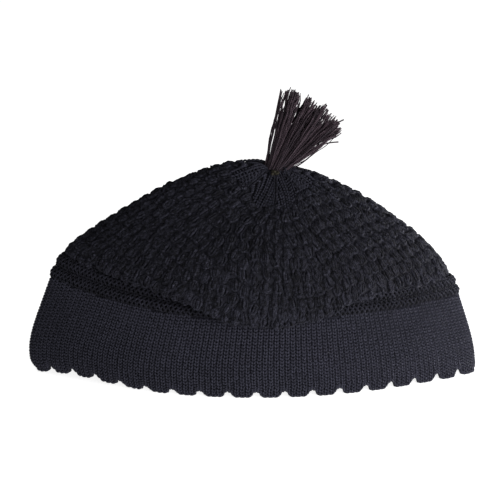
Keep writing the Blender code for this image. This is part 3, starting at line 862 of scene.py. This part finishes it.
# Thread ends at the outline, x and z in millimetres, and how many of the threads end before each of them
OUTLINE_ENDS = np.array([
    (14.3, 149.3), (16.2, 148.8), (19.7, 149.6), (24.4, 147.7), (25.3, 140.5), (28.3, 146.3), (31.1, 144.6),
    (34.4, 141.0), (37.7, 142.2), (41.6, 135.6), (43.6, 134.0), (45.0, 130.5), (45.8, 128.3),
]) / 1000
ENDS_BEFORE = np.array([0, 10, 21, 102, 110, 143, 170, 200, 231, 261, 287, 313, 330])

# Stray ends, two of them upright at the left, and a loop that has slipped out at the right: four places of
# each in x and in z, and how far it lies behind the middle of the fan, all in millimetres
STRAYS = (
    ((6.4, 9.2, 12.1, 14.4), (111.5, 124.0, 137.0, 149.6), -3.0),
    ((8.0, 11.5, 15.6, 16.9), (111.5, 124.0, 137.0, 149.4), -3.5),
    ((20.0, 30.0, 39.0, 46.3), (112.0, 122.5, 130.0, 134.4), -2.0),
    ((19.0, 26.0, 34.4, 43.9), (110.5, 116.5, 120.7, 122.4), 1.0),
    ((17.5, 24.5, 30.5, 36.0), (107.9, 111.3, 116.2, 121.3), -1.0),
)

fan = np.interp(np.arange(THREADS) + 0.5, ENDS_BEFORE, np.arange(len(OUTLINE_ENDS)))
tip_x, tip_z = (np.interp(fan, np.arange(len(OUTLINE_ENDS)), OUTLINE_ENDS[:, i]) for i in (0, 1))
depth = rng.uniform(-1, 1, THREADS)
place = np.clip(fan / (len(OUTLINE_ENDS) - 1) + rng.normal(0, FOOT_WANDER, THREADS), 0, 1)
foot_x, foot_z = (FOOT_LEFT[i] + (FOOT_RIGHT[i] - FOOT_LEFT[i]) * place for i in (0, 1))
head_half = HEAD_HALF_DEPTH * np.sqrt(1.02 - (2 * place - 1) ** 2)
foot_y = pole[1] + HEAD_BEHIND - FOOT_AHEAD + depth * head_half
starts = np.stack([foot_x, foot_y, foot_z], -1)
ends = np.stack([tip_x, pole[1] + HEAD_BEHIND + depth * FAN_HALF_DEPTH, tip_z], -1)
short = np.clip(np.abs(rng.normal(0, SHORTER, THREADS)), 0, SHORTEST)
ends = starts + (ends - starts) * (1 - short)[:, None]
t = np.linspace(0, 1, THREAD_POINTS)[None, :, None]
bow = rng.normal(0, BOW, (THREADS, 1, 3))
kink = rng.normal(0, KINK, (THREADS, 1, 3))
phase = rng.uniform(0, 2 * np.pi, (THREADS, 1, 1))
paths = starts[:, None] + (ends - starts)[:, None] * t + bow * np.sin(np.pi * t)
paths += kink * np.sin(KINK_ANGLE * t + phase) * t
normal = np.zeros(paths.shape) + (0.0, -1.0, 0.2)
radius = THREAD / 2 * rng.normal(1, 0.1, (THREADS, 1)) * np.append(np.ones(THREAD_POINTS - 1), 0.8)
tone = tones(0.63, 0.24, THREADS)[:, None] + rng.normal(0, 0.20, (THREADS, THREAD_POINTS))
# Painted shade at the head, where the threads crowd together.
tone -= HEAD_PAINTED_SHADE * np.exp(-t[..., 0] / HEAD_FADE)
threads = [yarn_lengths(paths, normal, radius, tone, sides=5)]
for x, z, behind in STRAYS:
    share = np.linspace(0, 3, THREAD_POINTS)
    smooth = [np.polyval(np.polyfit(range(4), values, 3), share) / 1000 for values in (x, z)]
    y = np.full(THREAD_POINTS, pole[1] + HEAD_BEHIND + behind / 1000)
    path = np.stack([smooth[0], y, smooth[1]], -1)
    threads.append(yarn_lengths(path[None], normal[:1], THREAD * 0.60, 0.5, sides=6))

# Red-brown cotton thread, softly twisted: a dusty matt brown, in which single threads stand out paler
BROWN_THREAD = spun_yarn("red_brown_cotton_thread", "#151115", "#3B3036",
                         fuzz=0.04, fibre_mm=1.0, ply_depth=0.9)
knit_piece("tassel_threads", threads, BROWN_THREAD, "tassel_thread", "tassel")

# Studio
# A plain pale floor that glows, so that shadows on it stay faint, and a weak even light from all round. A
# wide window light stands at the front right, and a low side light and a low edge light graze the right end.

FLOOR_CORNERS = ((-6, -3, 0), (6, -3, 0), (6, 9, 0), (-6, 9, 0))
LAMP_AIM = (0, 0, 0.05)
CAMERA_PLACE = (-0.0008, -0.875, 0.275)
CAMERA_AIM = (-0.0008, 0, 0.0647)

floor_mesh = bpy.data.meshes.new("floor")
floor_mesh.from_pydata(FLOOR_CORNERS, [], [(0, 1, 2, 3)])
floor = bpy.data.objects.new("floor", floor_mesh)
bpy.context.scene.collection.objects.link(floor)
paper = bpy.data.materials.new("white_paper")
paper.use_nodes = True
paper_shader = paper.node_tree.nodes["Principled BSDF"]
paper_shader.inputs["Base Color"].default_value = linear("#E6E6E6")
paper_shader.inputs["Emission Color"].default_value = linear("#FFFFFF")
paper_shader.inputs["Emission Strength"].default_value = 0.85
paper_shader.inputs["Roughness"].default_value = 0.9
floor_mesh.materials.append(paper)

world = bpy.data.worlds.new("studio")
world.use_nodes = True
world.node_tree.nodes["Background"].inputs["Color"].default_value = linear("#FFFFFF")
world.node_tree.nodes["Background"].inputs["Strength"].default_value = 0.24
bpy.context.scene.world = world
bpy.context.scene.view_settings.view_transform = "Standard"


def aimed(thing, place, aim):
    """Places an object in the scene and points its own -Z at an aim."""
    thing.location = place
    thing.rotation_euler = (Vector(aim) - Vector(place)).to_track_quat("-Z", "Y").to_euler()
    bpy.context.scene.collection.objects.link(thing)


# Lamps: place and size in metres, and power in watts
for word, place, size, power in (
    ("window_light", (0.50, -0.80, 0.22), (1.0, 0.5), 11.0),
    ("side_light", (0.85, -0.40, 0.04), (0.5, 0.06), 7.0),
    ("edge_light", (0.60, 0.20, 0.04), (0.3, 0.08), 6.0),
):
    lamp = bpy.data.lights.new(word, "AREA")
    lamp.shape = "RECTANGLE"
    lamp.size, lamp.size_y = size
    lamp.energy = power
    aimed(bpy.data.objects.new(word, lamp), place, LAMP_AIM)

lens = bpy.data.cameras.new("camera")
lens.lens = 124.0
lens.sensor_width = 36.0
camera = bpy.data.objects.new("camera", lens)
aimed(camera, CAMERA_PLACE, CAMERA_AIM)
bpy.context.scene.camera = camera

bpy.context.view_layer.update()
